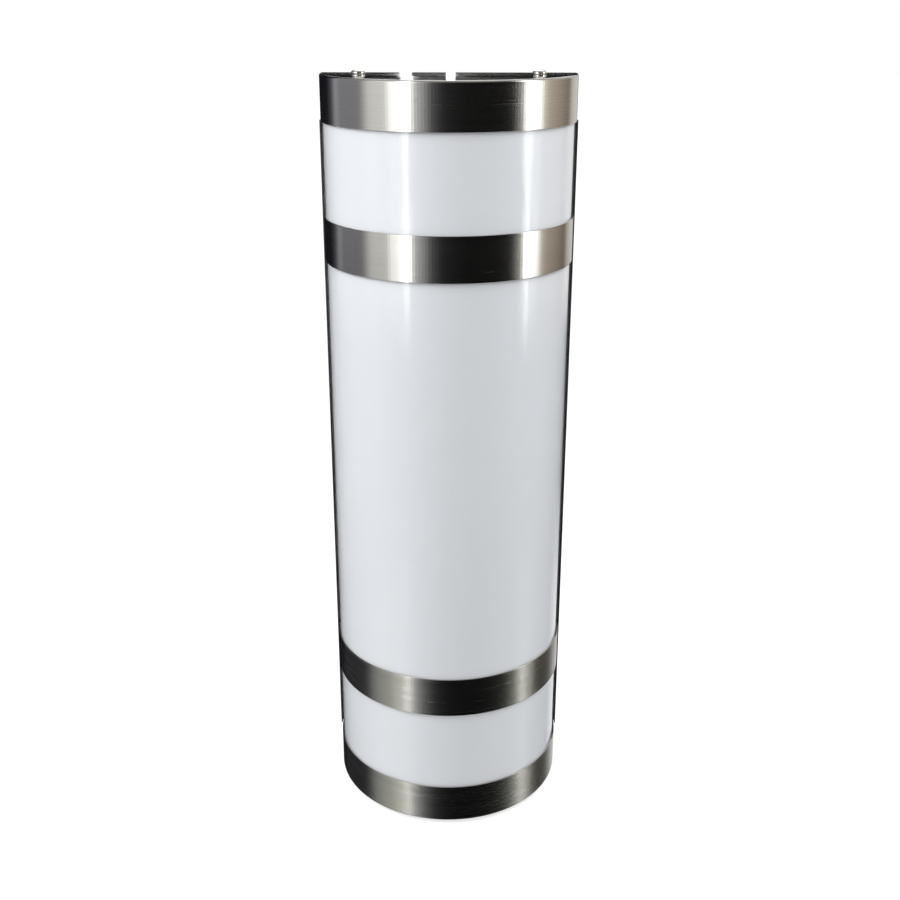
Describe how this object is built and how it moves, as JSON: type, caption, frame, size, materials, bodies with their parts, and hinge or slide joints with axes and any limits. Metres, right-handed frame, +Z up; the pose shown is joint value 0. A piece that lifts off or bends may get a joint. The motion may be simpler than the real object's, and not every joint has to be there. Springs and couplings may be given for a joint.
{
  "type": "wall light",
  "caption": "Half-round wall light: brushed metal bands round an opal half tube, lift-off cover, straight lamps on a flat back pan.",
  "frame": {"origin": "centre of the back pan's rear face, on the wall", "axes": "+Z up, +Y into the wall, so the light stands out from the wall towards -Y, and +X is to the right of someone who faces it"},
  "size_m": [0.165, 0.085, 0.513],
  "materials": {
    "brushed_nickel": "brushed nickel plate on steel, brushed along the band",
    "pan_nickel": "brushed nickel plate on sheet steel",
    "opal_acrylic": "glossy opal white acrylic",
    "bright_screw": "bright nickel plate",
    "white_paint": "gloss white baked enamel",
    "moulded_white": "moulded white thermoset",
    "lamp_glass": "glass with a white powder coat inside",
    "ferrule_metal": "bright aluminium",
    "zinc_plate": "zinc-plated steel",
    "black_rubber": "black rubber",
    "black_lead": "black insulation",
    "white_lead": "white insulation",
    "green_lead": "green insulation",
    "red_lead": "red insulation",
    "blue_lead": "blue insulation"
  },
  "bodies": {
    "pan": {"back_pan": "pan_nickel", "ballast_base": "zinc_plate", "ballast_can": "white_paint", "ballast_nut_lower": "zinc_plate", "ballast_nut_upper": "zinc_plate", "cover_nut_lower_left": "zinc_plate", "cover_nut_lower_right": "zinc_plate", "cover_nut_upper_left": "zinc_plate", "cover_nut_upper_right": "zinc_plate", "cover_screw_lower_left": "bright_screw", "cover_screw_lower_right": "bright_screw", "cover_screw_upper_left": "bright_screw", "cover_screw_upper_right": "bright_screw", "earth_lead": "green_lead", "earth_lug": "zinc_plate", "earth_nut": "zinc_plate", "lamp_lead_lower_left": "red_lead", "lamp_lead_lower_right": "blue_lead", "lamp_lead_upper_left": "red_lead", "lamp_lead_upper_right": "blue_lead", "lampholder_lower_left": "moulded_white", "lampholder_lower_right": "moulded_white", "lampholder_upper_left": "moulded_white", "lampholder_upper_right": "moulded_white", "line_lead": "black_lead", "lower_bracket": "white_paint", "neutral_lead": "white_lead", "terminal_block": "moulded_white", "terminal_block_nut": "zinc_plate", "upper_bracket": "white_paint", "wire_grommet": "black_rubber", "wireway_cover": "white_paint", "wireway_nut_lower_left": "zinc_plate", "wireway_nut_lower_right": "zinc_plate", "wireway_nut_upper_left": "zinc_plate", "wireway_nut_upper_right": "zinc_plate"},
    "cover": {"top_end_cap": "brushed_nickel", "bottom_end_cap": "brushed_nickel", "upper_band": "brushed_nickel", "lower_band": "brushed_nickel", "diffuser": "opal_acrylic"},
    "lamp_left": {"lamp_ferrule_lower_left": "ferrule_metal", "lamp_ferrule_upper_left": "ferrule_metal", "lamp_tube_left": "lamp_glass", "lampholder_rotor_lower_left": "moulded_white", "lampholder_rotor_upper_left": "moulded_white"},
    "lamp_right": {"lamp_ferrule_lower_right": "ferrule_metal", "lamp_ferrule_upper_right": "ferrule_metal", "lamp_tube_right": "lamp_glass", "lampholder_rotor_lower_right": "moulded_white", "lampholder_rotor_upper_right": "moulded_white"}
  },
  "joints": [
    {"name": "cover_slide", "type": "slide", "parent": "pan", "child": "cover", "axis": [0, -1, 0], "range_m": [0, 0.12]},
    {"name": "lamp_left_turn", "type": "hinge", "parent": "pan", "child": "lamp_left", "pos_m": [-0.0374, -0.042, 0], "axis": [0, 0, 1], "range_deg": [0, 90]},
    {"name": "lamp_right_turn", "type": "hinge", "parent": "pan", "child": "lamp_right", "pos_m": [0.0374, -0.042, 0], "axis": [0, 0, 1], "range_deg": [0, 90]}
  ]
}
